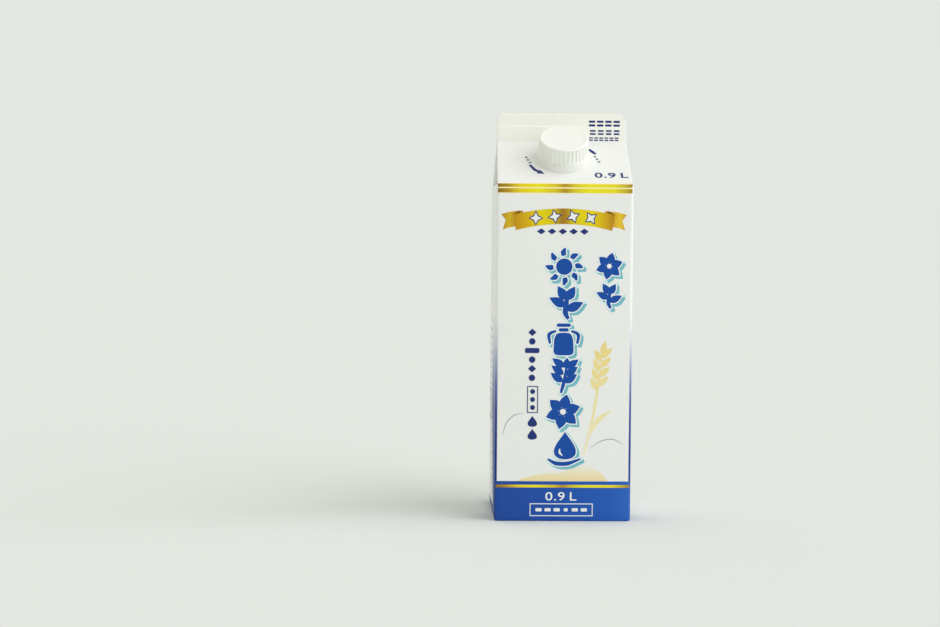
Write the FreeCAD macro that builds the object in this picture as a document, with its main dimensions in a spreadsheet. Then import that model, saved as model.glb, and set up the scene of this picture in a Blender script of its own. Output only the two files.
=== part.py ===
"""Gable-top drink carton with a screw cap on its front roof panel.

The carton stands on Z = 0 with its centre on the origin, its front towards -Y.
All lengths are in millimetres.
"""
import FreeCAD
import Part
import os
import Sketcher

document = FreeCAD.newDocument("Carton")
sizes = document.addObject("Spreadsheet::Sheet", "sizes")

drivingSizes = [
    ("bodyWidth", 70.0, "across the front panel"),
    ("bodyDepth", 70.0, "across a side panel"),
    ("wallHeight", 173.0, "floor to the shoulder crease"),
    ("cornerRadius", 1.6, "upright creases"),
    ("panelBulge", 1.0, "how far the filled panels belly out"),
    ("seamWidth", 1.8, "bared strip beside the raw edge of the glued seam"),
    ("boardThickness", 0.5, "one layer of board"),
    ("footRise", 0.9, "height of the folded crease round the foot"),
    ("footInset", 0.7, "foot inside the walls"),
    ("roofRise", 22.8, "shoulder crease to the foot of the fin"),
    ("roofWidth", 67.2, "roof panels and fin, side to side"),
    ("ridgeLength", 4.0, "where the two side gussets almost meet"),
    ("finHeight", 15.2, "whole fin"),
    ("finFoldHeight", 8.0, "lower part of the fin"),
    ("roofLayers", 2, "layers of board in each roof panel"),
    ("finLayers", 4, "layers of board in the lower part of the fin"),
    ("finLipLayers", 2, "layers of board in the upper part of the fin"),
    ("finCutWidth", 3.0, "bevel at the fin's right top corner"),
    ("finCutHeight", 3.9, "bevel at the fin's right top corner"),
    ("finNickWidth", 1.0, "bevel at the fin's left top corner"),
    ("finNickHeight", 3.2, "bevel at the fin's left top corner"),
    ("rimWidth", 3.0, "foot that the carton stands on"),
    ("bottomRecess", 1.6, "floor of the carton above the foot"),
    ("bottomFlapWidth", 44.0, "outer flap folded over the bottom"),
    ("capFinGap", 3.7, "roof left between the band under the cap and the foot of the fin"),
    ("capRadius", 13.0, "cap where it meets the band"),
    ("capTaper", 0.2, "cap under its bevelled rim, inside its foot"),
    ("capHeight", 8.9, "cap above the band"),
    ("ringStep", 0.3, "top of the band outside the cap's foot"),
    ("ringFlare", 0.5, "foot of the band outside its top"),
    ("ringHeight", 4.0, "smooth band under the cap"),
    ("capBevel", 0.6, "bevel round the top of the cap"),
    ("partingChamfer", 0.25, "edges of cap and band where they meet"),
    ("topRimWidth", 1.3, "raised rim of the cap's top"),
    ("topRecess", 0.25, "cap's top inside its rim"),
    ("ribCount", 36, "finger ribs round the cap"),
    ("ribGrooveRadius", 0.6, "rounded groove between two ribs"),
    ("ribGrooveDepth", 0.35, "groove inside the cap's foot radius"),
    ("ribTopMargin", 1.5, "smooth edge above the ribs"),
    ("gateRadius", 0.9, "moulding mark in the cap's top"),
    ("gateDepth", 0.25, "moulding mark in the cap's top"),
    ("gateOffset", 1.7, "moulding mark from the cap's axis"),
]
for row, (name, size, use) in enumerate(drivingSizes, start=1):
    sizes.set(f"A{row}", name)
    sizes.set(f"B{row}", str(size))
    sizes.set(f"C{row}", use)
    sizes.setAlias(f"B{row}", name)
document.recompute()

halfWidth = "sizes.bodyWidth / 2"
halfDepth = "sizes.bodyDepth / 2"
finThickness = "(sizes.finLayers * sizes.boardThickness)"
finLipThickness = "(sizes.finLipLayers * sizes.boardThickness)"
roofRun = f"({halfDepth} - {finThickness} / 2)"
roofPitch = f"atan(sizes.roofRise / {roofRun})"
roofSlope = f"sqrt(sizes.roofRise ^ 2 + {roofRun} ^ 2)"
ringTopRadius = "(sizes.capRadius + sizes.ringStep)"
ringFootRadius = f"({ringTopRadius} + sizes.ringFlare)"
capTopRadius = "(sizes.capRadius - sizes.capTaper)"


def valueOf(expression):
    """The number that an expression over the sheet gives now."""
    result = sizes.evalExpression(expression)
    return float(getattr(result, "Value", result))


def addBody(label):
    body = document.addObject("PartDesign::Body", label)
    body.Label = label
    return body


def addSketch(body, name, planeRole, lift="0"):
    """A sketch on one of the body's own origin planes, lifted along its normal."""
    sketch = body.newObject("Sketcher::SketchObject", name)
    plane = next(f for f in body.Origin.OriginFeatures if f.Role == planeRole)
    sketch.AttachmentSupport = (plane, [""])
    sketch.MapMode = "FlatFace"
    sketch.setExpression("AttachmentOffset.Base.z", lift)
    return sketch


def pin(sketch, geometry, end, point):
    """Hold one end of a sketch line at the expressions in point."""
    for kind, expression in zip(("DistanceX", "DistanceY"), point):
        constraint = Sketcher.Constraint(kind, -1, 1, geometry, end, valueOf(expression))
        index = sketch.addConstraint(constraint)
        sketch.setExpression(f"Constraints[{index}]", expression)


def vectorOf(point):
    return FreeCAD.Vector(valueOf(point[0]), valueOf(point[1]), 0)


def drawOutline(sketch, corners):
    """A closed outline of straight lines through corners given as expressions."""
    lines = []
    for start, end in zip(corners, corners[1:] + corners[:1]):
        lines.append(sketch.addGeometry(Part.LineSegment(vectorOf(start), vectorOf(end))))
        pin(sketch, lines[-1], 1, start)
    for line, following in zip(lines, lines[1:] + lines[:1]):
        sketch.addConstraint(Sketcher.Constraint("Coincident", line, 2, following, 1))


def drawRectangle(sketch, x, y):
    """A rectangle about the sketch's origin, reaching to x and y each way."""
    drawOutline(sketch, [(f"-{x}", f"-{y}"), (x, f"-{y}"), (x, y), (f"-{x}", y)])


def drawCircle(sketch, centre, radius):
    circle = Part.Circle(vectorOf(centre), FreeCAD.Vector(0, 0, 1), valueOf(radius))
    geometry = sketch.addGeometry(circle)
    pin(sketch, geometry, 3, centre)
    index = sketch.addConstraint(Sketcher.Constraint("Radius", geometry, valueOf(radius)))
    sketch.setExpression(f"Constraints[{index}]", radius)


def drawArc(sketch, start, middle, end, radius):
    """An arc drawn through three points, whose radius is then held."""
    geometry = sketch.addGeometry(Part.Arc(start, middle, end))
    index = sketch.addConstraint(Sketcher.Constraint("Radius", geometry, valueOf(radius)))
    sketch.setExpression(f"Constraints[{index}]", radius)
    return geometry


def drawSection(sketch, width, depth, radius, bulge=None):
    """A level cut through the carton: four panels and four rounded creases."""
    x, y = f"{width} / 2", f"{depth} / 2"
    flatX, flatY = f"({x} - {radius})", f"({y} - {radius})"
    panels = [
        ((f"-{flatX}", f"-{y}"), (flatX, f"-{y}"), flatX),
        ((x, f"-{flatY}"), (x, flatY), flatY),
        ((flatX, y), (f"-{flatX}", y), flatX),
        ((f"-{x}", flatY), (f"-{x}", f"-{flatY}"), flatY),
    ]
    edges = []
    for start, end, flat in panels:
        first, last = vectorOf(start), vectorOf(end)
        if bulge:
            along = (last - first).normalize()
            outward = FreeCAD.Vector(along.y, -along.x, 0) * valueOf(bulge)
            panelRadius = f"({flat} ^ 2 + {bulge} ^ 2) / (2 * {bulge})"
            edge = drawArc(sketch, first, (first + last) / 2 + outward, last, panelRadius)
        else:
            edge = sketch.addGeometry(Part.LineSegment(first, last))
        pin(sketch, edge, 1, start)
        pin(sketch, edge, 2, end)
        edges.append((edge, first, last))
    for (edge, _, last), (following, first, _) in zip(edges, edges[1:] + edges[:1]):
        chord = first - last
        outward = FreeCAD.Vector(chord.y, -chord.x, 0).normalize()
        sagitta = valueOf(radius) * (1 - 0.5 ** 0.5)
        crease = drawArc(sketch, last, (last + first) / 2 + outward * sagitta, first, radius)
        sketch.addConstraint(Sketcher.Constraint("Coincident", edge, 2, crease, 1))
        sketch.addConstraint(Sketcher.Constraint("Coincident", crease, 2, following, 1))


def addWallSection(body, name, lift, bulge=None):
    """The four walls at one height."""
    sketch = addSketch(body, name, "XY_Plane", lift)
    drawSection(sketch, "sizes.bodyWidth", "sizes.bodyDepth", "sizes.cornerRadius", bulge)
    return sketch


def addLoft(body, name, sections, ruled):
    loft = body.newObject("PartDesign::AdditiveLoft", name)
    loft.Profile = sections[0]
    loft.Sections = sections[1:]
    loft.Ruled = ruled
    return loft


def addSwept(body, kind, name, sketch, length, symmetric=False, reverse=False):
    """A Pad or Pocket whose length is an expression."""
    feature = body.newObject(f"PartDesign::{kind}", name)
    feature.Profile = sketch
    feature.setExpression("Length", length)
    feature.Midplane = symmetric
    feature.Reversed = reverse
    return feature


def addRevolution(body, name, sketch):
    feature = body.newObject("PartDesign::Revolution", name)
    feature.Profile = sketch
    feature.ReferenceAxis = (sketch, ["V_Axis"])
    feature.Angle = 360
    return feature


def makeCarton():
    """The folded board with what fills it, shut, as one closed solid."""
    body = addBody("carton")

    foot = addSketch(body, "FootSection", "XY_Plane")
    footWidth = "(sizes.bodyWidth - 2 * sizes.footInset)"
    footDepth = "(sizes.bodyDepth - 2 * sizes.footInset)"
    drawSection(foot, footWidth, footDepth, "(sizes.cornerRadius - sizes.footInset)")
    footTop = addWallSection(body, "FootTopSection", "sizes.footRise")
    addLoft(body, "Foot", [foot, footTop], ruled=True)

    base = addWallSection(body, "BaseSection", "sizes.footRise")
    middle = "(sizes.footRise + sizes.wallHeight) / 2"
    belly = addWallSection(body, "BellySection", middle, "sizes.panelBulge")
    shoulder = addWallSection(body, "ShoulderSection", "sizes.wallHeight")
    addLoft(body, "Walls", [base, belly, shoulder], ruled=False)

    # The side gussets fold inwards, so what is under the roof is a pyramid.
    eaves = addWallSection(body, "GussetFoot", "sizes.wallHeight")
    ridgeHeight = "sizes.wallHeight + sizes.roofRise - sizes.boardThickness"
    ridge = addSketch(body, "GussetTop", "XY_Plane", ridgeHeight)
    drawSection(ridge, "sizes.ridgeLength", finThickness, "sizes.boardThickness")
    addLoft(body, "Gussets", [eaves, ridge], ruled=True)

    # The roof panels lean on each other and go on up, pressed together, as the fin.
    finFoot = "sizes.wallHeight + sizes.roofRise"
    finStep = f"{finFoot} + sizes.finFoldHeight"
    finTop = f"{finFoot} + sizes.finHeight"
    roofWall = f"sizes.roofLayers * sizes.boardThickness / sin({roofPitch})"
    outer = [
        (halfDepth, "sizes.wallHeight"),
        (f"{finThickness} / 2", finFoot),
        (f"{finThickness} / 2", finStep),
        (f"{finLipThickness} / 2", finStep),
        (f"{finLipThickness} / 2", finTop),
    ]
    inner = (f"{halfDepth} - {roofWall}", "sizes.wallHeight")
    peak = ("0", f"sizes.wallHeight + ({halfDepth} - {roofWall}) * tan({roofPitch})")
    front = [(f"-({across})", height) for across, height in outer + [inner]]
    profile = addSketch(body, "RoofProfile", "YZ_Plane")
    drawOutline(profile, front[:-1] + outer[::-1] + [inner, peak, front[-1]])
    addSwept(body, "Pad", "RoofAndFin", profile, "sizes.roofWidth", symmetric=True)

    corners = addSketch(body, "FinCorners", "XZ_Plane")
    finEnd = "sizes.roofWidth / 2"
    for side, width, height in (("", "sizes.finCutWidth", "sizes.finCutHeight"),
                                ("-", "sizes.finNickWidth", "sizes.finNickHeight")):
        drawOutline(corners, [
            (f"{side}({finEnd} - {width})", finTop),
            (f"{side}({finEnd} + {width})", finTop),
            (f"{side}({finEnd} + {width})", f"{finTop} - {height}"),
            (f"{side}({finEnd})", f"{finTop} - {height}"),
        ])
    addSwept(body, "Pocket", "FinBevels", corners, finThickness, symmetric=True)

    # The outer layer ends just short of the left rear crease.
    seam = addSketch(body, "SeamStrip", "XY_Plane")
    left, right = f"-({halfWidth})", f"sizes.seamWidth - {halfWidth}"
    near, far = f"{halfDepth} - sizes.boardThickness", f"{halfDepth} + sizes.panelBulge"
    drawOutline(seam, [(left, near), (right, near), (right, far), (left, far)])
    addSwept(body, "Pocket", "Seam", seam, "sizes.wallHeight", reverse=True)

    recess = addSketch(body, "BottomRecess", "XY_Plane")
    floorDepth = f"({halfDepth} - sizes.rimWidth)"
    drawRectangle(recess, f"({halfWidth} - sizes.rimWidth)", floorDepth)
    addSwept(body, "Pocket", "Bottom", recess, "sizes.bottomRecess", reverse=True)

    flap = addSketch(body, "BottomFlap", "XY_Plane", "sizes.bottomRecess - sizes.boardThickness")
    drawRectangle(flap, "(sizes.bottomFlapWidth / 2)", floorDepth)
    addSwept(body, "Pad", "Flap", flap, "sizes.boardThickness")
    return body


def seatOnRoof(body):
    """Stand a round piece on the front roof panel, its axis square to the panel."""
    body.Placement = FreeCAD.Placement(FreeCAD.Vector(), FreeCAD.Rotation(FreeCAD.Vector(1, 0, 0), 1))
    along = f"({roofSlope} - sizes.capFinGap - {ringFootRadius})"
    body.setExpression("Placement.Rotation.Angle", roofPitch)
    body.setExpression("Placement.Base.y", f"{along} * cos({roofPitch}) - {halfDepth}")
    body.setExpression("Placement.Base.z", f"{along} * sin({roofPitch}) + sizes.wallHeight")


def makeRing():
    """The smooth band that stays on the spout when the cap is unscrewed."""
    body = addBody("spout_ring")
    profile = addSketch(body, "RingProfile", "XZ_Plane")
    drawOutline(profile, [
        ("0", "0"),
        (ringFootRadius, "0"),
        (ringTopRadius, "sizes.ringHeight - sizes.partingChamfer"),
        (f"{ringTopRadius} - sizes.partingChamfer", "sizes.ringHeight"),
        ("0", "sizes.ringHeight"),
    ])
    addRevolution(body, "Ring", profile)
    seatOnRoof(body)
    return body


def makeCap():
    """The ribbed screw cap, on top of the band."""
    body = addBody("cap")
    top = "(sizes.ringHeight + sizes.capHeight)"
    profile = addSketch(body, "CapProfile", "XZ_Plane")
    rimInner = f"{capTopRadius} - sizes.capBevel - sizes.topRimWidth"
    drawOutline(profile, [
        ("0", "sizes.ringHeight"),
        ("sizes.capRadius - sizes.partingChamfer", "sizes.ringHeight"),
        ("sizes.capRadius", "sizes.ringHeight + sizes.partingChamfer"),
        (capTopRadius, f"{top} - sizes.capBevel"),
        (f"{capTopRadius} - sizes.capBevel", top),
        (rimInner, top),
        (f"{rimInner} - sizes.topRecess", f"{top} - sizes.topRecess"),
        ("0", f"{top} - sizes.topRecess"),
    ])
    addRevolution(body, "CapShape", profile)

    groove = addSketch(body, "RibGroove", "XY_Plane", "sizes.ringHeight")
    grooveCentre = "sizes.capRadius - sizes.ribGrooveDepth + sizes.ribGrooveRadius"
    drawCircle(groove, (grooveCentre, "0"), "sizes.ribGrooveRadius")
    cut = addSwept(body, "Pocket", "RibCut", groove, "sizes.capHeight - sizes.ribTopMargin", reverse=True)
    ribs = body.newObject("PartDesign::PolarPattern", "Ribs")
    ribs.Originals = [cut]
    ribs.Axis = (groove, ["N_Axis"])
    ribs.Angle = 360
    ribs.setExpression("Occurrences", "sizes.ribCount")
    body.Tip = ribs

    gate = addSketch(body, "GateMark", "XY_Plane", f"{top} - sizes.topRecess - sizes.gateDepth")
    drawCircle(gate, ("sizes.gateOffset", "0"), "sizes.gateRadius")
    addSwept(body, "Pocket", "Gate", gate, "sizes.gateDepth", reverse=True)
    seatOnRoof(body)
    return body


subParts = [makeCarton(), makeRing(), makeCap()]
document.recompute()

for item in document.Objects:
    if "Invalid" in item.State or "Error" in item.State:
        raise RuntimeError(f"{item.Name} failed: {item.State}")
for body in subParts:
    if body.Shape.isNull() or not body.Shape.isValid():
        raise RuntimeError(f"{body.Label} has no valid shape")

os.makedirs("parts", exist_ok=True)
for body in subParts:
    body.Shape.exportStep(f"parts/{body.Label}.step")
    box = body.Shape.optimalBoundingBox()
    print(body.Label, round(body.Shape.Volume, 1), "mm3",
          [round(v, 2) for v in (box.XMin, box.XMax, box.YMin, box.YMax, box.ZMin, box.ZMax)])
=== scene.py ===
import math
import bpy
import bmesh
from mathutils import Matrix, Vector, noise


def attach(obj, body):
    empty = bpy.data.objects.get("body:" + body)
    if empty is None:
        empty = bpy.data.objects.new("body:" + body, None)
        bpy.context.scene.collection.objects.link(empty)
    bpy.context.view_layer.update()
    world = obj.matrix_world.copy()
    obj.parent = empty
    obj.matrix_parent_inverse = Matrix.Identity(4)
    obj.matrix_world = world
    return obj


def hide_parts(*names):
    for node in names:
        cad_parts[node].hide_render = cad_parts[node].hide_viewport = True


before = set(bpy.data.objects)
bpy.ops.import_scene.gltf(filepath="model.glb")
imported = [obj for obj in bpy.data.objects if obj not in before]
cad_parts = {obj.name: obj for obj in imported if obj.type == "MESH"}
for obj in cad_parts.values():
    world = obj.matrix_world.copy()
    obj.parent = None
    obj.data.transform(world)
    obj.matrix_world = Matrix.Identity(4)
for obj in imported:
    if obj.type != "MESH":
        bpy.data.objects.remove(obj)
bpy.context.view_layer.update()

mm = 0.001
scene = bpy.context.scene


def linear(red, green, blue):  # 0 to 255, as a screen shows them
    parts = [value / 255 for value in (red, green, blue)]
    return [p / 12.92 if p <= 0.04045 else ((p + 0.055) / 1.055) ** 2.4 for p in parts] + [1.0]


def newObject(name, data):
    made = bpy.data.objects.new(name, data)
    scene.collection.objects.link(made)
    return made


def bakedMesh(source):  # what an object comes to with its modifiers or its text's outlines
    bpy.context.view_layer.update()
    return bpy.data.meshes.new_from_object(source.evaluated_get(bpy.context.evaluated_depsgraph_get()))


def addNode(tree, kind, sockets=(), **values):
    # a node with its settings, and its inputs each given a value or another node's output
    node = tree.nodes.new(kind)
    for name, value in values.items():
        setattr(node, name, value)
    for name, value in dict(sockets).items():
        if isinstance(value, bpy.types.NodeSocket):
            tree.links.new(value, node.inputs[name])
        else:
            node.inputs[name].default_value = value
    return node


mixA, mixB, mixResult = 6, 7, 2  # the colour sockets of a Mix node


def mixColours(tree, factor, first, second, **values):
    sockets = {"Factor": factor, mixA: first, mixB: second}
    return addNode(tree, "ShaderNodeMix", sockets, data_type="RGBA", **values).outputs[mixResult]


def makeFinish(name, look):
    # faint clouding in the colour, and a fine grain in the gloss and the relief
    tree = bpy.data.node_groups.new(name, "ShaderNodeTree")
    for label, default in (("Colour", (1, 1, 1, 1)), ("Clouding", look["clouding"]), ("Gloss Spread", 0.1),
                           ("Roughness", look["roughness"]), ("Relief", look["relief"])):
        kind = "NodeSocketColor" if label == "Colour" else "NodeSocketFloat"
        tree.interface.new_socket(label, in_out="INPUT", socket_type=kind).default_value = default
    for label, kind in (("Colour", "Color"), ("Roughness", "Float"), ("Normal", "Vector")):
        tree.interface.new_socket(label, in_out="OUTPUT", socket_type="NodeSocket" + kind)
    given = tree.nodes.new("NodeGroupInput").outputs
    place = addNode(tree, "ShaderNodeTexCoord").outputs["Object"]
    clouds = addNode(tree, "ShaderNodeTexNoise", {
        "Vector": place, "Scale": look["cloudScale"], "Detail": look["cloudDetail"]})
    stretch = addNode(tree, "ShaderNodeMapping", {"Vector": place, "Scale": (1.0, 1.0, look["grainStretch"])})
    grain = addNode(tree, "ShaderNodeTexNoise", {
        "Vector": stretch.outputs[0], "Scale": look["grainScale"],
        "Detail": look["grainDetail"]}).outputs["Fac"]
    amount = addNode(tree, "ShaderNodeMath", {
        0: clouds.outputs["Fac"], 1: given["Clouding"]}, operation="MULTIPLY")
    shade = mixColours(tree, amount.outputs[0], given["Colour"], look["shade"], blend_type="MULTIPLY")
    centred = addNode(tree, "ShaderNodeMath", {0: grain, 1: 0.5}, operation="SUBTRACT")
    rough = addNode(tree, "ShaderNodeMath", {
        0: centred.outputs[0], 1: given["Gloss Spread"], 2: given["Roughness"]}, operation="MULTIPLY_ADD")
    bump = addNode(tree, "ShaderNodeBump", {
        "Distance": look["depth"] * mm, "Strength": given["Relief"], "Height": grain})
    addNode(tree, "NodeGroupOutput", {
        "Colour": shade, "Roughness": rough.outputs[0], "Normal": bump.outputs["Normal"]})
    return tree


boardFinish = makeFinish("boardFinish", {  # film-coated board, its fibres running up it
    "clouding": 0.05, "roughness": 0.4, "relief": 0.3, "depth": 0.06, "shade": (0.80, 0.83, 0.80, 1),
    "cloudScale": 55, "cloudDetail": 3, "grainScale": 1500, "grainDetail": 4, "grainStretch": 0.55})
plasticFinish = makeFinish("plasticFinish", {  # moulded polyethylene with a fine matt skin
    "clouding": 0.1, "roughness": 0.47, "relief": 0.15, "depth": 0.04, "shade": (0.86, 0.86, 0.80, 1),
    "cloudScale": 140, "cloudDetail": 2, "grainScale": 2600, "grainDetail": 2, "grainStretch": 1.0})


def newMaterial(name, finish, colour, gloss=0.5, **values):
    # a material on one finish group: its colour, its specular level and the group's own inputs
    material = bpy.data.materials.new(name)
    material.use_nodes = True
    tree = material.node_tree
    shader = tree.nodes["Principled BSDF"]
    shader.inputs["Specular IOR Level"].default_value = gloss
    group = addNode(tree, "ShaderNodeGroup", node_tree=finish)
    group.inputs["Colour"].default_value = linear(*colour)
    for label, value in values.items():
        group.inputs[label].default_value = value
    for result, socket in (("Colour", "Base Color"), ("Roughness", "Roughness"), ("Normal", "Normal")):
        tree.links.new(group.outputs[result], shader.inputs[socket])
    return material, group, shader


def inkMaterial(name, colour):
    return newMaterial(
        "ink_" + name, boardFinish, colour, gloss=0.22, Clouding=0.12, Roughness=0.4, Relief=0.2)[0]


def placeAlong(tree, axis, start, end):
    # 0 to 1 between two places on one object axis, in millimetres
    place = addNode(tree, "ShaderNodeTexCoord").outputs["Object"]
    split = addNode(tree, "ShaderNodeSeparateXYZ", {"Vector": place})
    return addNode(tree, "ShaderNodeMapRange", {
        "Value": split.outputs[axis], "From Min": start * mm, "From Max": end * mm}).outputs["Result"]


def colourRamp(tree, place, stops):
    ramp = addNode(tree, "ShaderNodeValToRGB", {"Fac": place})
    elements = ramp.color_ramp.elements
    while len(elements) < len(stops):
        elements.new(0.5)
    for element, (position, colour) in zip(elements, stops):
        element.position = position
        element.color = linear(*colour)
    return ramp.outputs["Color"]


def rampedInk(name, stops, start, end, axis="X"):
    # ink whose colour runs along one object axis, from start to end in millimetres
    material, group, _ = newMaterial(
        "ink_" + name, boardFinish, (255, 255, 255), gloss=0.25, Clouding=0.1, Roughness=0.36, Relief=0.2)
    tree = material.node_tree
    tree.links.new(colourRamp(tree, placeAlong(tree, axis, start, end), stops), group.inputs["Colour"])
    return material


inkColours = {
    "blue": (14, 76, 164),
    "navy": (34, 52, 118),
    "teal": (122, 190, 202),
    "glow": (206, 236, 240),
    "white": (242, 244, 243),
    "ripple": (168, 174, 182),
    "stripeGap": (255, 248, 176),
    "stripeEdge": (252, 244, 206),
    "foldBrown": (112, 78, 22),
    "grey": (120, 132, 150),
    "fineGrey": (176, 183, 194),
}
inks = {name: inkMaterial(name, colour) for name, colour in inkColours.items()}
inks["stripeGold"] = rampedInk("stripe_gold", [
    (0.00, (140, 104, 28)), (0.08, (182, 140, 30)), (0.17, (236, 206, 28)), (0.30, (244, 230, 28)),
    (0.43, (224, 198, 32)), (0.50, (184, 142, 34)), (0.57, (224, 202, 32)), (0.68, (246, 234, 30)),
    (0.86, (240, 222, 38)), (0.94, (206, 180, 46)), (1.00, (150, 122, 46))], -35, 35)
inks["ribbonGold"] = rampedInk("ribbon_gold", [
    (0.00, (196, 138, 14)), (0.14, (216, 174, 6)), (0.28, (234, 214, 4)), (0.40, (222, 198, 8)),
    (0.49, (164, 118, 24)), (0.53, (176, 134, 20)), (0.62, (226, 208, 6)), (0.78, (236, 214, 4)),
    (0.92, (212, 168, 10)), (1.00, (188, 132, 18))], -27, 25)
inks["cream"] = rampedInk("cream", [
    (0.0, (240, 222, 166)), (0.3, (243, 230, 188)), (0.65, (243, 238, 218)), (1.0, (242, 242, 236))],
    20.6, 31, "Z")
inks["paleGold"] = rampedInk("pale_gold", [
    (0.0, (246, 238, 206)), (0.4, (244, 230, 172)), (1.0, (240, 218, 136))], 34, 94, "Z")
# the printed blue band, with painted sheen: its blue runs lighter towards +x, standing in for gloss lit from
# the right
inks["bandBlue"] = rampedInk("band_blue_painted_sheen", [
    (0.0, (22, 72, 158)), (0.5, (24, 82, 174)), (0.85, (32, 92, 186)), (1.0, (42, 102, 194))], -35, 35)
inks["tailGold"] = rampedInk("tail_gold", [
    (0.00, (178, 134, 22)), (0.07, (216, 180, 32)), (0.12, (194, 150, 24)), (0.18, (166, 116, 22)),
    (0.50, (200, 150, 40)), (0.83, (172, 120, 30)), (0.89, (218, 170, 38)), (0.94, (236, 200, 50)),
    (1.00, (196, 146, 36))], -33, 32)


size = {  # the carton's own sizes, in millimetres
    "halfWidth": 35.0,
    "wallHeight": 173.0,    # floor to the shoulder crease
    "creaseRadius": 1.6,    # upright creases
    "belly": 0.84,          # filled panels lean out by this at their middle
    "slack": 0.12,          # unevenness of the belly
    "footInset": 0.7,
    "footRise": 0.9,
    "rim": 3.0,
    "recess": 1.6,          # bottom above the rim
    "flapHalf": 22.0,       # half the width of the bottom's outer flap
    "seamWidth": 1.8,
    "seamStart": 0.5,       # the seam's step ends here and at seamEnd, fading out over seamRun
    "seamEnd": 171.8,
    "seamRun": 2.868,
    "layer": 0.5,           # one thickness of board
    "shoulderBend": 1.1,
    "shoulderTuck": 0.8,    # the walls' top, tucked in under the roof panels
    "roofRise": 22.8,
    "roofRight": 34.35,     # the roof's folded ends, from the middle
    "roofLeft": (34.6, 33.2),  # at the shoulder and at the top of the fin
    "ridgeHalf": 2.0,
    "finFold": 8.0,
    "finHeight": 15.2,
    "finCornerRight": (31.35, 3.0, 3.9),  # from the middle, run and drop of the fin's cut corners
    "finCornerLeft": (33.2, 1.15, 3.2),
    "panelColumns": 38,
    "wallRows": 60,
}
flatHalf = size["halfWidth"] - size["creaseRadius"]
aroundCrease = size["creaseRadius"] * math.pi / 4  # half of an upright crease belongs to each panel
panelHalf = flatHalf + aroundCrease
finHalf = 2 * size["layer"]
roofRun = size["halfWidth"] - finHalf
pitch = math.atan2(size["roofRise"], roofRun)
roofLength = math.hypot(size["roofRise"], roofRun)
shoulderReach = size["shoulderBend"] * math.tan((math.pi / 2 - pitch) / 2)
finFoot = size["wallHeight"] + size["roofRise"]
finTop = finFoot + size["finHeight"]
roofUp = Vector((0, math.cos(pitch), math.sin(pitch)))
roofOut = Vector((0, -math.sin(pitch), math.cos(pitch)))


# every print and fold takes its place from the functions that follow

def bellyAt(turn, u, z):
    across = max(0.0, 1 - (u / flatHalf) ** 2)
    middle = (size["footRise"] + size["wallHeight"]) / 2
    along = max(0.0, 1 - ((z - middle) / (size["wallHeight"] - middle)) ** 2)
    uneven = noise.noise(Vector((u / 26, z / 38, 7.3 * turn)))
    return (size["belly"] + size["slack"] * uneven) * across * along


def turned(x, y, turn):  # quarter turns: front, right, back, left
    for _ in range(turn % 4):
        x, y = -y, x
    return x, y


def footTuck(z):  # the wall curls in over its last millimetre
    return size["footInset"] * max(0.0, 1 - z / size["footRise"]) ** 2.2


def seamDrop(turn, u):  # the bared strip by the raw edge of the glued seam, at the left rear crease
    if turn == 2 and u > flatHalf - size["seamWidth"]:
        return 0.9 * size["layer"] * min(1.0, max(0.0, (panelHalf + aroundCrease - u) / (2 * aroundCrease)))
    if turn == 3 and u < -flatHalf:
        return 0.9 * size["layer"] * max(0.0, (-flatHalf - u) / (2 * aroundCrease))
    return 0.0


def seamFade(z):  # the seam's step ends above the foot's edge and below the shoulder crease
    return min(1.0, max(0.0, (size["seamEnd"] - z) / size["seamRun"])) if z > size["seamStart"] else 0.0


def wallSpot(turn, u, z, lift=0.0):
    # a place on one of the four walls, u to the right as that wall is seen from outside
    lift -= footTuck(z)
    radius = max(size["creaseRadius"] + lift, 0.35)
    flat = size["halfWidth"] + lift - radius
    if abs(u) <= flatHalf:
        x, depth = u * flat / flatHalf, size["halfWidth"] + lift + bellyAt(turn, u, z)
    else:
        angle = (abs(u) - flatHalf) / size["creaseRadius"]
        x = math.copysign(flat + radius * math.sin(angle), u)
        depth = flat + radius * math.cos(angle)
    x, y = turned(x, -depth, turn)
    return Vector((x, y - seamDrop(turn, u) * seamFade(z), z))


def roofSpot(turn, u, s, lift=0.0):
    # a place on the front (0) or back (2) roof panel, s up the slope from the shoulder
    spot = Vector((0, -size["halfWidth"], size["wallHeight"])) + roofUp * s + roofOut * lift
    x, y = turned(u, spot.y, turn)
    return Vector((x, y, spot.z))


def foldSpot(turn, u, v, lift=0.0):
    # up the wall, round the shoulder crease and on up the roof, v measured along the board
    bend, edge = size["shoulderBend"], size["wallHeight"] - shoulderReach
    angle = (v - edge) / bend
    if angle <= 0:
        return wallSpot(turn, u, v, lift)
    if angle >= math.pi / 2 - pitch:
        return roofSpot(turn, u, shoulderReach + v - edge - bend * (math.pi / 2 - pitch), lift)
    y = -size["halfWidth"] + bend - (bend + lift) * math.cos(angle)
    x, y = turned(u, y, turn)
    return Vector((x, y, edge + (bend + lift) * math.sin(angle)))


def finLean(u, z):  # both faces of the fin lean together
    rise = max(0.0, (z - finFoot) / size["finHeight"])
    return rise * (0.22 * noise.noise(Vector((u / 24, 0.4, 2.0))) + 0.05)


def finSpot(turn, u, z, lift=0.0):
    x, y = turned(u, -finHalf - lift, turn)
    return Vector((x, y + finLean(x, z), z))


boardMark, cutMark, bandMark = 0, 1, 2  # the board's material slots: outside, raw edge and printed foot


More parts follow.
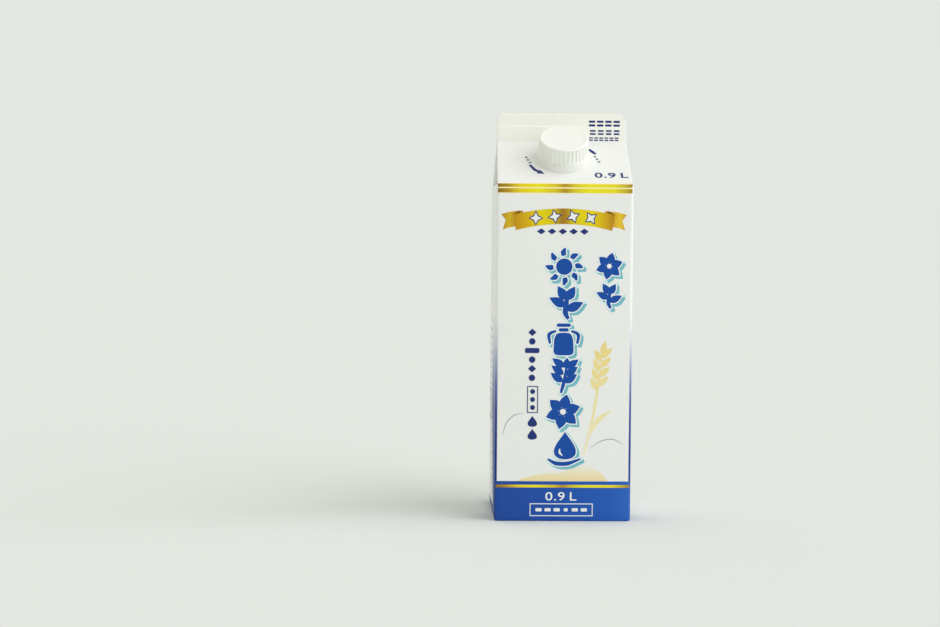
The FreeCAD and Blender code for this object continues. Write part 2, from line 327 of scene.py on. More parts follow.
class Shell:
    # vertices and faces gathered in millimetres, then made into one object
    def __init__(self):
        self.points, self.faces, self.marks = [], [], []

    def add(self, points, faces, marks=None):
        first = len(self.points)
        self.points += points
        self.faces += [[first + i for i in face] for face in faces]
        self.marks += marks or [boardMark] * len(faces)

    def build(self, name, materials, smooth=35.0):
        mesh = bpy.data.meshes.new(name)
        mesh.from_pydata([Vector(p) * mm for p in self.points], [], self.faces)
        for polygon, mark in zip(mesh.polygons, self.marks):
            polygon.material_index = mark
        for material in materials:
            mesh.materials.append(material)
        mesh.validate()
        mesh.shade_smooth()
        mesh.set_sharp_from_angle(angle=math.radians(smooth))
        piece = newObject(name, mesh)
        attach(piece, "root")
        return piece


def spread(low, high, count):
    return [low + (high - low) * i / (count - 1) for i in range(count)]


def tube(rows):
    # faces between rows of equal length, each row a closed ring
    count = len(rows[0])
    faces = []
    for r in range(len(rows) - 1):
        for c in range(count):
            d = (c + 1) % count
            faces.append([r * count + c, r * count + d, (r + 1) * count + d, (r + 1) * count + c])
    return faces


def wallColumns():
    columns = spread(-flatHalf, flatHalf, size["panelColumns"])
    edge = flatHalf - size["seamWidth"]
    columns = [u for u in columns if abs(u - edge) > 0.5] + [edge - 0.04, edge + 0.04]
    turns = [flatHalf + aroundCrease * i / 4 for i in range(1, 5)]
    return sorted(columns + turns + [-u for u in turns[:-1]])


def wallRing(z, lift):
    return [wallSpot(turn, u, z, lift) for turn in range(4) for u in wallColumns()]


def makeWalls(shell):
    top = size["wallHeight"]
    footLevels = (0.0, 0.15, 0.35, 0.6, size["footRise"])
    levels = [(z, 0.0) for z in footLevels]
    levels += [(z, 0.0) for z in spread(2.6, size["seamEnd"], size["wallRows"])]
    levels += [(top - 0.6, -0.12), (top - 0.2, -0.42), (top, -size["shoulderTuck"])]
    rows = [wallRing(z, lift) for z, lift in levels]
    shoulder = rows[-1]
    ridgeX, ridgeY, ridgeZ = size["ridgeHalf"], finHalf - 0.1, finFoot - 0.8
    reach = size["halfWidth"] - size["shoulderTuck"]
    ridge = [Vector((p.x * ridgeX / reach, p.y * ridgeY / reach, ridgeZ)) for p in shoulder]
    for step in (0.03, 0.1, 0.25, 0.4, 0.55, 0.7, 0.85, 1.0):
        rows.append([a.lerp(b, step) for a, b in zip(shoulder, ridge)])
    count = len(shoulder)
    points = [p for row in rows for p in row]
    printed = (len(footLevels) - 1) * count  # the foot is printed like the band above it
    faces = tube(rows) + [list(range(len(points) - count, len(points)))]
    shell.add(points, faces, [bandMark] * printed + [boardMark] * (len(faces) - printed))
    # the rim, then up to the bottom set in from it
    rings = [wallRing(0.0, 0.0), wallRing(0.0, size["footInset"] - size["rim"]),
             wallRing(0.25, -size["rim"]), wallRing(size["recess"], -size["rim"] - 0.3)]
    points = [p for row in rings for p in row]
    faces = tube(rings) + [list(range(len(points) - count, len(points)))]
    shell.add(points, [face[::-1] for face in faces])


def makeBottomFlaps(shell):
    # the outer flap over two tucked triangles
    reach = size["halfWidth"] - size["rim"] - 0.6
    half, tipX, tipY = size["flapHalf"], 10, 3
    slabs = [([(-half, -reach), (half, -reach), (half, reach), (-half, reach)], size["layer"])]
    for side in (-1, 1):
        tuck = [(side * reach, -reach), (side * reach, reach), (side * tipX, tipY), (side * tipX, -tipY)]
        slabs.append((tuck[::side], size["layer"] * 0.5))
    for outline, thick in slabs:
        low = [(x, y, size["recess"] - thick) for x, y in outline]
        high = [(x, y, size["recess"] + 0.2) for x, y in outline]
        count = len(outline)
        sides = [[i, (i + 1) % count, count + (i + 1) % count, count + i] for i in range(count)]
        shell.add(low + high, [list(range(count))[::-1], list(range(count, 2 * count))] + sides)


weld = {"radius": 15.6, "width": 0.55, "height": 0.13}
capSizes = {
    "finGap": 3.7, "ringFoot": 13.8, "ringTop": 13.35, "ringHeight": 4.0,
    "radius": 13.3, "taper": 0.5, "height": 8.9, "ribs": 36, "ribDepth": 0.42, "ribWidth": 1.25,
    "gateOffset": 1.7,
}
capAlong = roofLength - capSizes["finGap"] - capSizes["ringFoot"]


def weldRelief(turn, u, s):  # the spout's flange, welded on inside, shows as a faint ring
    if turn:
        return 0.0
    distance = (math.hypot(u, s - capAlong) - weld["radius"]) / weld["width"]
    return weld["height"] * math.exp(-distance * distance)


def roofEdgeScale(x, z):
    # how far a place at x moves out to follow the roof's sloping ends
    height = max(0.0, (z - size["wallHeight"]) / (finTop - size["wallHeight"]))
    low, high = size["roofLeft"]
    edge = size["roofRight"] if x > 0 else low + (high - low) * height
    bend = size["shoulderBend"]  # the ends are tucked inside the wall below the crease
    tuck = bend * (1 - min(1.0, max(0.0, (z - size["wallHeight"] + bend) / bend)))
    return (edge - tuck) / size["roofRight"]


def slabSection(turn, u):
    # outer and inner outline of a roof panel with its half of the fin, at one place across
    x = -u if turn else u
    start, run, drop = size["finCornerRight"] if x > 0 else size["finCornerLeft"]
    step = finFoot + size["finFold"]
    lipTop = finTop - drop * max(0.0, (abs(x) - start) / run)
    layer = size["layer"]
    slopeWall = 2 * layer / math.cos(pitch)
    outer, inner = [], []

    def pair(yOut, zOut, yIn, zIn):
        outer.append(Vector((u, yOut, zOut)))
        inner.append(Vector((u, yIn, zIn)))

    bend, tangent = size["shoulderBend"], shoulderReach
    centreY, centreZ = -size["halfWidth"] + bend, size["wallHeight"] - tangent
    pair(centreY - bend + 0.5, centreZ - 1.6, centreY + 1.4, centreZ - 1.2)
    pair(centreY - bend + 0.06, centreZ - 0.5, centreY + 1.4, centreZ - 0.6)
    for i in range(7):
        angle = (math.pi / 2 - pitch) * i / 6
        pair(centreY - bend * math.cos(angle), centreZ + bend * math.sin(angle), centreY + 1.4,
             size["wallHeight"] - 0.9 + 0.15 * i)
    for s in spread(tangent, roofLength - 0.5, 51)[1:-1]:
        spot = roofSpot(0, u, s, weldRelief(turn, u, s))
        under = roofSpot(0, u, max(s, 2.3 + 0.04 * s), -2 * layer)
        pair(spot.y, spot.z, min(under.y, -0.04), under.z)
    peak = finFoot - slopeWall
    for i in range(5):  # concave crease at the fin's foot
        angle = (math.pi / 2 - pitch) * i / 4
        radius, reach = 0.9, 0.9 * math.tan((math.pi / 2 - pitch) / 2)
        y = -finHalf - radius + radius * math.cos(math.pi / 2 - pitch - angle)
        z = finFoot + reach - radius * math.sin(math.pi / 2 - pitch - angle)
        pair(y, z, -0.04, peak + 0.1 + 0.2 * i)
    for z in spread(finFoot + 1.2, step - 0.35, 8):
        pair(-finHalf, z, -0.04, z)
    for y, z in ((-0.96, step - 0.1), (-0.80, step + 0.06), (-0.60, step + 0.16), (-0.5, step + 0.4)):
        pair(y * finHalf, z, -0.04, z)
    for z in spread(step + 0.9, lipTop - 0.3, 8):
        pair(-layer, z, -0.04, z)
    pair(-layer + 0.03, lipTop - 0.08, -0.05, lipTop - 0.08)
    pair(-layer + 0.1, lipTop, -0.09, lipTop)
    return outer, inner


def makeRoofSlab(shell, turn):
    edge = 0.5  # radius of the panel's ends
    flat = size["roofRight"] - edge
    ends = [(flat + edge * math.sin(a), math.cos(a)) for a in spread(0.0, math.radians(84), 6)]
    straight = [(u, 1.0) for u in spread(0.8 - flat, flat - 0.8, 84)]
    columns = [(-u, fat) for u, fat in ends[::-1]] + straight + ends
    rows = []
    for u, fat in columns:
        outer, inner = slabSection(turn, u)
        loop = []
        for a, b in zip(outer, inner):
            middle = (a + b) / 2
            loop.append((middle + (a - middle) * fat, middle + (b - middle) * fat))
        row = [a for a, _ in loop] + [b for _, b in loop[::-1]]
        for i, p in enumerate(row):
            x, y = turned(p.x, p.y, turn)
            x *= roofEdgeScale(x, p.z)
            row[i] = Vector((x, y + finLean(x, p.z), p.z))
        rows.append(row)
    count = len(rows[0])
    points = [p for row in rows for p in row]
    faces = [face[::-1] for face in tube(rows)]
    top = range(count // 2 - 2, count // 2 + 1)  # the cut edge along the top
    marks = [cutMark if i % count in top else boardMark for i in range(len(faces))]
    caps = [list(range(count)), list(range(len(points) - count, len(points)))[::-1]]
    shell.add(points, faces + caps, marks + [boardMark] * 2)


boardWhite = (242, 243, 240)
finPaintedLightWhite = (252, 251, 243)  # painted light: warmer and a little brighter than the rest of the board, standing in for light bounced up from the roof


def sideMaterial():
    # white front and back; the two side panels run from white down to blue
    material, group, _ = newMaterial(
        "coated_board", boardFinish, boardWhite, gloss=0.14, Clouding=0.16, Roughness=0.38, Relief=0.35)
    tree = material.node_tree
    place = addNode(tree, "ShaderNodeTexCoord").outputs["Object"]
    split = addNode(tree, "ShaderNodeSeparateXYZ", {"Vector": place})
    away = addNode(tree, "ShaderNodeMath", {0: split.outputs["X"]}, operation="ABSOLUTE")
    edge = addNode(tree, "ShaderNodeMapRange", {
        "Value": away.outputs[0], "From Min": 33.5 * mm, "From Max": 34.0 * mm},
        interpolation_type="SMOOTHSTEP")
    fade = colourRamp(tree, placeAlong(tree, "Z", 106, 22), [
        (0.0, boardWhite), (0.16, (214, 217, 224)), (0.28, (172, 180, 208)), (0.42, (116, 128, 178)),
        (0.58, (66, 84, 150)), (0.78, (32, 62, 138)), (1.0, (20, 58, 138))])
    # painted light: from the fin's foot up, the board turns to the brighter, warmer white
    fin = placeAlong(tree, "Z", finFoot - 0.5, finFoot + 1.5)
    panel = mixColours(tree, fin, linear(*boardWhite), linear(*finPaintedLightWhite))
    tree.links.new(mixColours(tree, edge.outputs["Result"], panel, fade), group.inputs["Colour"])
    return material


def makeBoard():
    shell = Shell()
    makeWalls(shell)
    makeBottomFlaps(shell)
    makeRoofSlab(shell, 0)
    makeRoofSlab(shell, 2)
    cutEdge = newMaterial(
        "raw_board_edge", boardFinish, (226, 218, 198), Clouding=0.5, Roughness=0.8, Relief=1.0)[0]
    # the foot takes the band's blue with its painted sheen
    piece = shell.build("board", [sideMaterial(), cutEdge, inks["bandBlue"]])
    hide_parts("carton")
    return piece


board = makeBoard()
print("board:", len(board.data.polygons), "faces")


# flat shapes for the print, in millimetres about their own centre

def smoothPath(corners, closed=False, steps=6):
    # a curve through its corners, with the share of the way along beside each point
    points = [Vector(c) for c in corners]
    count, result = len(points), []
    for i in range(count if closed else count - 1):
        a, b, c, d = (points[k % count if closed else min(max(k, 0), count - 1)] for k in range(i - 1, i + 3))
        for step in range(steps):
            t = step / steps
            result.append((0.5 * ((2 * b) + (c - a) * t + (2 * a - 5 * b + 4 * c - d) * t * t
                                  + (3 * b - a - 3 * c + d) * t ** 3), i + t))
    return result if closed else result + [(points[-1], count - 1)]


def smoothLoop(corners):
    return [tuple(point) for point, _ in smoothPath(corners, closed=True)]


def disc(radius, count=36):
    angles = (2 * math.pi * i / count for i in range(count))
    return [(radius * math.cos(a), radius * math.sin(a)) for a in angles]


def bar(width, height, corner=None):
    corner = min(width, height) / 2 if corner is None else corner
    x, y = width / 2 - corner, height / 2 - corner
    points = []
    for quarter, (cx, cy) in enumerate(((x, y), (-x, y), (-x, -y), (x, -y))):
        for i in range(5):
            angle = math.pi / 2 * (quarter + i / 4)
            points.append((cx + corner * math.cos(angle), cy + corner * math.sin(angle)))
    return points


def lozenge(width, height):
    return [(width / 2, 0), (0, height / 2), (-width / 2, 0), (0, -height / 2)]


def drop(width, height, count=40):
    points = []
    for i in range(count):
        angle = 2 * math.pi * i / count
        x = width * 0.65 * math.sin(angle) * math.sin(angle / 2) ** 1.6
        points.append((x, height / 2 * math.cos(angle)))
    return points[::-1]


def leaf(length, width, count=12):  # pointed at both ends, along +x from its root
    upper = [(length * i / count, width / 2 * math.sin(math.pi * (i / count) ** 0.8))
             for i in range(count + 1)]
    lower = [(x, -y) for x, y in upper[1:-1]]
    return lower + upper[::-1]


def stroke(path, widths):
    # a brush stroke: a smooth path with a width at each of its points
    fine, wide = [], []
    for point, way in smoothPath(path):
        i = min(int(way), len(widths) - 2)
        fine.append(point)
        wide.append(widths[i] + (widths[i + 1] - widths[i]) * (way - i))
    left, right = [], []
    for i, point in enumerate(fine):
        along = (fine[min(i + 1, len(fine) - 1)] - fine[max(i - 1, 0)]).normalized()
        across = Vector((-along.y, along.x)) * wide[i] / 2
        left.append(tuple(point + across))
        right.append(tuple(point - across))
    return right + left[::-1]


def moved(outline, dx, dy, angle=0.0, scale=1.0):
    c, s = math.cos(math.radians(angle)) * scale, math.sin(math.radians(angle)) * scale
    return [(x * c - y * s + dx, x * s + y * c + dy) for x, y in outline]


def grown(outline, distance):
    # the outline pushed out along its own normals
    result = []
    count = len(outline)
    for i in range(count):
        before, here, after = (Vector(outline[(i + k) % count]) for k in (-1, 0, 1))
        first, second = (here - before), (after - here)
        first = first.normalized() if first.length else second.normalized()
        second = second.normalized() if second.length else first
        across = Vector((first.y + second.y, -first.x - second.x))
        across = across.normalized() if across.length > 1e-6 else Vector((first.y, -first.x))
        sharp = max(0.6, across.dot(Vector((first.y, -first.x))))
        result.append(tuple(here + across * (distance / sharp)))
    return result


class Plate:
    # one ink's shapes, laid on the board as thin solids that follow its surface
    thickness = 0.10
    cell = 3.5  # shapes are cut on this grid, and where the board bends, across and up
    turnCuts = ([side * u for side in (-1, 1) for u in (31.56, 31.64, 33.4, 33.7, 34.0, 34.3, 34.55)],
                [0.35, 0.6, 0.9, 168.932, 171.8, 172.42, 172.65, 172.9, 173.15, 173.45])

    def __init__(self, name, ink):
        self.name, self.ink, self.shell, self.laid = name, ink, Shell(), 0

    def lay(self, outline, spot, turn, lift):
        flat = bmesh.new()
        flat.faces.new([flat.verts.new((x, y, 0)) for x, y in outline])
        self.wrap(flat, spot, turn, lift)

    def wrap(self, flat, spot, turn, lift):
        for face in flat.faces:
            face.normal_update()
            if face.normal.z < 0:
                face.normal_flip()
        for axis in (0, 1):
            values = [v.co[axis] for v in flat.verts]
            normal = Vector((1, 0, 0)) if axis == 0 else Vector((0, 1, 0))
            first, last = math.ceil(min(values) / self.cell), math.floor(max(values) / self.cell)
            cuts = [line * self.cell for line in range(first, last + 1)] + self.turnCuts[axis]
            for cut in cuts:
                if min(values) < cut < max(values):
                    everything = flat.verts[:] + flat.edges[:] + flat.faces[:]
                    bmesh.ops.bisect_plane(
                        flat, geom=everything, plane_co=normal * cut, plane_no=normal, dist=1e-5)
        bmesh.ops.triangulate(flat, faces=flat.faces[:], ngon_method="EAR_CLIP")
        bmesh.ops.remove_doubles(flat, verts=flat.verts[:], dist=1e-5)
        flat.verts.index_update()
        self.laid += 1
        top = lift + 0.0007 * (self.laid % 16)  # no two shapes in exactly one plane
        count = len(flat.verts)
        points = [spot(turn, v.co.x, v.co.y, top) for v in flat.verts]
        points += [spot(turn, v.co.x, v.co.y, top - self.thickness) for v in flat.verts]
        faces = []
        for face in flat.faces:
            ids = [v.index for v in face.verts]
            faces += [ids, [i + count for i in ids[::-1]]]
        for edge in flat.edges:
            if len(edge.link_faces) == 1:
                ids = [v.index for v in edge.link_faces[0].verts]
                a, b = edge.verts[0].index, edge.verts[1].index
                if ids[(ids.index(a) + 1) % len(ids)] != b:
                    a, b = b, a
                faces.append([b, a, a + count, b + count])
        self.shell.add(points, faces)
        flat.free()

    def finish(self):
        if self.shell.points:
            piece = self.shell.build(self.name, [inks[self.ink]], smooth=30)


plates = {}


def plate(face, ink):
    key = f"print_{face}_{ink}"
    if key not in plates:
        plates[key] = Plate(key, ink)
    return plates[key]


lifts = {"field": 0.03, "glow": 0.046, "shadow": 0.062, "halo": 0.078, "ink": 0.094, "top": 0.11}


def layInk(face, ink, turn, shape, x=0, z=0, spot=wallSpot, lift="ink"):
    plate(face, ink).lay(moved(shape, x, z), spot, turn, lifts[lift])


# brush-drawn farm motifs, each a list of outlines about 20 mm high

def sunMotif():
    shapes = [disc(4.5)]
    for i in range(8):
        ray = stroke([(6.0, 0.2), (7.8, 0.5), (10.2, -0.5)], [2.2, 3.1, 0.7])
        shapes.append(moved(ray, 0, 0, 90 + 45 * i))
    return shapes


def sproutMotif():
    shapes = [stroke([(1.2, -8.8), (-0.5, -5), (0.1, 0), (0.4, 3.5)], [1.6, 3.0, 2.6, 1.8])]
    leaves = ((0.1, -4.0, 26, 10.3), (-0.1, -1.6, 154, 10.3), (0.1, 1.6, 58, 8.8), (-0.1, 1.8, 122, 8.8))
    for x, height, angle, length in leaves:
        shapes.append(moved(leaf(length, 5.2), x, height, angle))
    return shapes


def churnMotif():
    # a milk churn: lid, neck, shoulders, body and two handles
    body = smoothLoop([(-5.0, -8.0), (0, -8.8), (5.0, -8.0), (5.4, -3.2), (4.9, 1.0), (2.9, 3.4), (-2.9, 3.4),
                       (-4.9, 1.0), (-5.4, -3.2)])
    handles = [stroke([(side * 4.2, 4.6), (side * 8.0, 2.6), (side * 7.4, -2.4)], [1.2, 2.0, 1.2])
               for side in (-1, 1)]
    return [body, moved(bar(5.4, 1.9, 0.7), 0, 5.2), moved(bar(7.8, 1.9, 0.9), 0, 7.8)] + handles


def wheatMotif():
    shapes = [stroke([(-2.6, -9.6), (-1.4, -5.5), (-0.2, 0), (0.3, 4)], [1.2, 2.0, 1.8, 1.3])]
    for i in range(3):
        height, lean = -4.0 + 4.0 * i, -1.0 + 0.4 * i
        shapes.append(moved(leaf(8.4, 4.2), lean + 0.5, height, 36))
        shapes.append(moved(leaf(8.4, 4.2), lean - 0.5, height + 0.6, 144))
    shapes.append(moved(leaf(6.4, 4.0), 0.4, 3.6, 88))
    return shapes


def flowerMotif():
    petals = [moved(moved(leaf(8.2, 6.0), 1.6, 0), 0, 0, 60 * i + 18) for i in range(6)]
    return petals + [disc(2.3)]


def dropMotif():
    return [moved(drop(13.6, 15.6), 0, 1.4),
            stroke([(-9.4, -6.2), (-4.8, -8.6), (1.6, -8.6), (8.8, -6.0)], [0.9, 2.3, 2.3, 0.8])]


def layMotif(face, turn, shapes, x, z, scale):
    layers = (("glow", 1.15, 0.45, -0.5, "glow"), ("teal", 0.45, 1.35, -1.3, "shadow"),
              ("white", 0.55, 0, 0, "halo"), ("blue", 0, 0, 0, "ink"))
    for outline in shapes:
        outline = moved(outline, x, z, 0, scale)
        for ink, wider, dx, dz, lift in layers:
            shape = grown(outline, wider) if wider else outline
            layInk(face, ink, turn, shape, dx, dz, lift=lift)


frontPrint = {  # printed on the front, and again on the back
    "stripes": ((167.6, 168.1, "stripeEdge"), (168.1, 170.3, "stripeGold"), (170.3, 171.0, "stripeGap"),
                (171.0, 172.7, "stripeGold"), (172.7, 173.3, "stripeEdge")),
    "stripeHalf": 34.4,
    "bandTop": 20.6, "bandLine": (17.35, 18.8), "bandFoot": 0.3,
    "ribbonX": -0.5, "ribbonHalf": 26.0, "ribbonTop": 160.2, "ribbonSag": 3.3, "ribbonHeight": 7.9,
    "columnX": 0.4, "columnTop": 130.6, "columnPitch": 18.55, "motifScale": 0.93,
    "pairX": 22.8, "pairTop": 131.0, "pairPitch": 15.4, "marksX": -15.8,
    "numeral": "0.9 L",
}


def ribbonCurve(x, height):  # height of the ribbon's arched edges at x
    p = frontPrint
    return p["ribbonTop"] - height - p["ribbonSag"] * ((x - p["ribbonX"]) / p["ribbonHalf"]) ** 2


def layStripes(face, turn):
    # each stripe is low, high and ink, measured up over the shoulder crease
    for low, high, ink in frontPrint["stripes"]:
        stripe = bar(2 * frontPrint["stripeHalf"], high - low, 0.01)
        layInk(face, ink, turn, stripe, 0, (low + high) / 2, foldSpot, "field")


def layRibbon(face, turn):
    p = frontPrint
    x0, half, tall = p["ribbonX"], p["ribbonHalf"], p["ribbonHeight"]
    xs = spread(x0 - half, x0 + half, 27)
    upper = [(x, ribbonCurve(x, 0)) for x in xs]
    lower = [(x + (0.055 * (x0 - x)), ribbonCurve(x, tall)) for x in xs]
    layInk(face, "ribbonGold", turn, lower + upper[::-1], lift="halo")
    tail = ((20.6, 151.4), (24.6, 150.9), (28.2, 150.2), (30.6, 149.2), (29.2, 154.2),
            (31.4, 157.1), (27.6, 158.3), (22.0, 159.0), (20.6, 158.9))
    fold = ((half - 0.2, ribbonCurve(x0 + half, 0) + 0.02), (half - 4.0, ribbonCurve(x0 + half - 4, 0)),
            (half - 3.9, 158.95), (half - 3.2, 158.6))
    for side in (-1.02, 1.02):
        for ink, shape, lift in (("tailGold", tail, "field"), ("foldBrown", fold, "shadow")):
            layInk(face, ink, turn, [(x0 + side * dx, z) for dx, z in shape], lift=lift)
    for i, x in enumerate((-14.9, -5.3, 4.1, 13.2)):
        z = ribbonCurve(x, tall / 2)
        star = []
        for k in range(16):
            angle = math.pi / 8 * k + 0.2 * i
            radius = (2.95, 1.7, 1.25, 1.7)[k % 4]
            star.append((x + radius * math.cos(angle), z + radius * math.sin(angle)))
        layInk(face, "navy", turn, grown(star, 0.55))
        layInk(face, "white", turn, star, lift="top")


def layFrame(face, ink, turn, x, z, width, height, line):
    for side in (1, -1):
        layInk(face, ink, turn, bar(width, line, 0.01), x, z + side * (height - line) / 2)
    for side in (1, -1):
        layInk(face, ink, turn, bar(line, height, 0.01), x + side * (width - line) / 2, z)


def layNumeral(face, ink, spot, turn, x, z, height, bold):
    curve = bpy.data.curves.new("numeral", "FONT")
    curve.body = frontPrint["numeral"]
    curve.align_x, curve.align_y = "CENTER", "CENTER"
    curve.offset = bold
    curve.space_character = 1.08
    curve.space_word = 0.55
    curve.resolution_u = 4
    holder = newObject("numeral", curve)
    mesh = bakedMesh(holder)
    flat = bmesh.new()
    flat.from_mesh(mesh)
    bpy.data.objects.remove(holder)
    bpy.data.meshes.remove(mesh)
    bmesh.ops.remove_doubles(flat, verts=flat.verts[:], dist=1e-4)
    scale, stretch = height / 0.7, 1.3  # capitals are 0.7 of the font's size
    for vertex in flat.verts:
        vertex.co = Vector((x + vertex.co.x * scale * stretch, z + vertex.co.y * scale, 0))
    plate(face, ink).wrap(flat, spot, turn, lifts["ink"])


def layMainColumn(face, turn):
    p = frontPrint
    motifs = (sunMotif, sproutMotif, churnMotif, wheatMotif, flowerMotif, dropMotif)
    for i, motif in enumerate(motifs):
        x = p["columnX"] + (0.6 if i % 2 else -0.6)
        layMotif(face, turn, motif(), x, p["columnTop"] - p["columnPitch"] * i, p["motifScale"])
    # white details inside the motifs
    glint = stroke([(-2.6, -0.4), (-2.7, -2.4), (-1.2, -4.0)], [0.4, 1.2, 0.3])
    x, z = p["pairX"], p["pairTop"]
    for shape, across, up in ((glint, p["columnX"] + 0.6, p["columnTop"] - p["columnPitch"] * 5),
                              (disc(1.5, 24), p["columnX"] - 0.6, p["columnTop"] - p["columnPitch"] * 4),
                              (disc(1.2, 24), x, z)):
        layInk(face, "white", turn, shape, across, up, lift="top")
    layMotif(face, turn, flowerMotif(), x, z, 0.72)
    layMotif(face, turn, sproutMotif(), x + 0.1, z - p["pairPitch"], 0.70)


def layPasture(face, turn):
    # pale hills at the foot of the white panel, an ear of grain and two contour lines
    foot = frontPrint["bandTop"]
    hills = ([(-24, foot), (-18, 22.8), (-9, 24.6), (0, 24.4), (9, 22.4), (13, foot)],
             [(-13, foot), (-4, 23.6), (6, 28.0), (13, 28.6), (19, 25.6), (23, foot)])
    for i, hill in enumerate(hills):
        crest = [(point.x, max(point.y, foot)) for point, _ in smoothPath(hill)]
        plate(face, "cream").lay(crest[::-1], wallSpot, turn, lifts["field"] + 0.004 * i)
    contours = ([(-31, 44), (-29, 50.5), (-25, 54.5), (-20.6, 55.6)],
                [(13.5, 37.5), (20, 41.6), (26, 42.2), (31, 39.5)])
    for path in contours:
        layInk(face, "ripple", turn, stroke(path, [0.15, 0.5, 0.5, 0.15]), lift="field")
    ear = [stroke([(10.5, 34), (14.0, 48), (16.6, 62), (18.8, 78)], [1.2, 1.5, 1.4, 1.0])]
    for x, z in zip(spread(17.4, 19.3, 4), spread(68.5, 83.0, 4)):
        ear += [moved(leaf(7.6, 3.3), x, z + 1.2 * side, 80 - 38 * side) for side in (-1, 1)]
    ear.append(moved(leaf(8.0, 3.2), 19.6, 85.2, 78))
    ear.append(stroke([(13.0, 44), (18.2, 52.5), (24.6, 57.0)], [0.8, 2.6, 0.3]))
    for outline in ear:
        layInk(face, "paleGold", turn, outline, lift="field")


def laySmallColumn(face, turn):
    x, dot, diamond = frontPrint["marksX"], disc(1.65, 24), lozenge(4.2, 3.8)
    for i, mark in enumerate((diamond, dot, bar(7.4, 2.6, 0.8), dot, diamond, dot)):
        layInk(face, "navy", turn, mark, x - 0.4, 97.0 - 4.65 * i)
    layFrame(face, "navy", turn, x, 62.6, 5.6, 13.8, 0.45)
    for i in range(3):
        layInk(face, "navy", turn, disc(1.25, 20), x, 66.7 - 4.1 * i)
    for i in range(2):
        layInk(face, "navy", turn, drop(5.4, 5.6, 24), x, 51.4 - 6.6 * i)


def layBand(face, turn):
    p = frontPrint
    # the blue field carries painted sheen, lighter towards +x
    fields = (("bandBlue", p["bandFoot"], p["bandTop"], panelHalf - 0.02, "field"),
              ("stripeGold", *p["bandLine"], p["stripeHalf"], "shadow"))
    for ink, low, high, half, lift in fields:
        layInk(face, ink, turn, bar(2 * half, high - low, 0.01), 0, (low + high) / 2, lift=lift)
    layNumeral(face, "white", wallSpot, turn, -0.9, 12.6, 4.3, 0.008)
    layFrame(face, "white", turn, -0.6, 5.9, 32.4, 6.6, 0.45)
    for i, wide in enumerate((3.2, 3.2, 3.2, 2.0, 3.2, 3.2)):
        layInk(face, "white", turn, bar(wide, 1.7, 0.4), -12.2 + 4.65 * i, 5.9)


def layPanel(face, turn):
    layStripes(face, turn)
    layRibbon(face, turn)
    for i in range(5):
        layInk(face, "navy", turn, lozenge(4.4, 3.0), -12.1 + 5.5 * i, 148.5)
    layPasture(face, turn)
    layMainColumn(face, turn)
    laySmallColumn(face, turn)
    layBand(face, turn)


def layRoof():
    layNumeral("roof", "navy", roofSpot, 0, 24.0, 7.7, 4.6, 0.018)
    left = stroke([(-17.4, 17.6), (-15.0, 12.8), (-12.6, 10.9)], [1.3, 1.8, 1.9])
    head = [(-14.2, 9.4), (-10.2, 8.9), (-12.3, 12.6)]
    right = stroke([(14.0, 33.8), (15.6, 31.4), (17.4, 28.6)], [1.0, 1.9, 1.3])
    for shape in (left, head, right):  # the turning marks, one on each side of the cap
        layInk("roof", "navy", 0, shape, spot=roofSpot)
    for i in range(3):
        for x, s in ((-19.0, 25.0), (16.9, 26.2)):
            layInk("roof", "grey", 0, disc(0.75, 16), x + 0.9 * i, s - 2.6 * i, roofSpot)


def layFin():
    # three rows of marks, each a pair of short bars
    rows = ((205.6, 4, 3.4, 3.2, 16.4), (200.9, 4, 3.0, 2.6, 16.8), (197.4, 6, 2.1, 1.9, 15.9))
    for z, count, wide, tall, start in rows:
        gap = (29.4 - start) / (count - 1)
        for i in range(count):
            for side in (-1, 1):
                place = moved(bar(wide, tall * 0.34, 0.3), start + gap * i, z + side * tall * 0.31)
                lift = lifts["ink"] - (0.5 if z > finFoot + size["finFold"] else 0.0)
                plate("fin", "navy").lay(place, finSpot, 0, lift)


sidePrint = {
    "centre": 9.0, "wide": 48.0, "tall": 96.0, "middle": 53.0,  # the white panel, set towards the back
    "rows": 22, "pitch": 4.1, "tableRows": (8, 12),
}


def laySide(turn):
    # a white information panel towards the back, filled with plain bars
    p = sidePrint
    centre = p["centre"] * (1 if turn == 1 else -1)
    top = p["middle"] + p["tall"] / 2 - 4.0
    layInk("side", "white", turn, bar(p["wide"], p["tall"], 1.2), centre, p["middle"], lift="field")
    firstRow, lastRow = p["tableRows"]
    for i in range(p["rows"]):
        height = top - p["pitch"] * i
        if i == firstRow:  # a ruled table between two blocks of bars
            layFrame("side", "grey", turn, centre, height - 6.2, p["wide"] - 5, 15, 0.4)
        if firstRow <= i < lastRow:
            layInk("side", "grey", turn, bar(p["wide"] - 5.4, 0.35, 0.01), centre, height - 1.9)
        for start, widths in ((centre - 20.9, (18.4, 14.0, 16.8)), (centre + 0.9, (20.0, 19.0, 12.6))):
            width = widths[i % 3]
            layInk("side", "fineGrey", turn, bar(width, 0.9, 0.4), start + width / 2, height)


for face, turn in (("front", 0), ("back", 2)):
    layPanel(face, turn)
layRoof()
layFin()
for turn in (1, 3):
    laySide(turn)
for item in plates.values():
    item.finish()
print("print:", len(plates), "inks laid")


capPlastic, _, capShader = newMaterial("cap_plastic", plasticFinish, (245, 246, 240))
bandPlastic, _, bandShader = newMaterial("band_plastic", plasticFinish, (240, 241, 234), Clouding=0.16)
for shader in (capShader, bandShader):
    shader.inputs["Subsurface Weight"].default_value = 0.12
    shader.inputs["Subsurface Radius"].default_value = (0.0015, 0.0014, 0.0011)

roofSeat = Matrix.Translation(roofSpot(0, 0, capAlong)) @ Matrix.Rotation(pitch, 4, "X")


def seated(points):  # from upright at the origin to the cap's place on the roof
    return [roofSeat @ Vector(point) for point in points]


